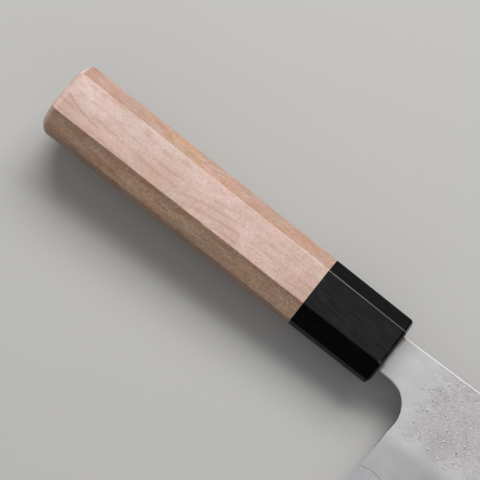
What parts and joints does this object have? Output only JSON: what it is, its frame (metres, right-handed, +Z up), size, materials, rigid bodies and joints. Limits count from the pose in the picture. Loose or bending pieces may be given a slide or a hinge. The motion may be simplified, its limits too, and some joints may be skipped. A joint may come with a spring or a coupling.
{
  "type": "santoku kitchen knife",
  "caption": "Kitchen knife with a straight spine, a sheep's-foot tip, a three-layer steel blade and an octagonal wooden handle with a black ferrule.",
  "frame": {"origin": "on the surface the knife lies on, under the middle of its bounding box", "axes": "the knife lies on its left side: +X runs from the butt to the tip, +Y towards the spine, +Z up out of the right face"},
  "size_m": [0.3112, 0.0554, 0.025],
  "materials": {
    "handle_wood": "pale fine-pored wood, sanded and thinly sealed",
    "ferrule_horn": "polished black horn, satin",
    "bedding_resin": "amber casting resin",
    "core_steel": "hard core steel, polished at the edge",
    "outer_steel": "satin soft steel with a pear-skin pitted face"
  },
  "bodies": {
    "root": {"handle_body": "handle_wood", "ferrule": "ferrule_horn", "tang_bedding": "bedding_resin", "core_steel": "core_steel", "cladding_right": "outer_steel", "cladding_left": "outer_steel"}
  },
  "joints": []
}
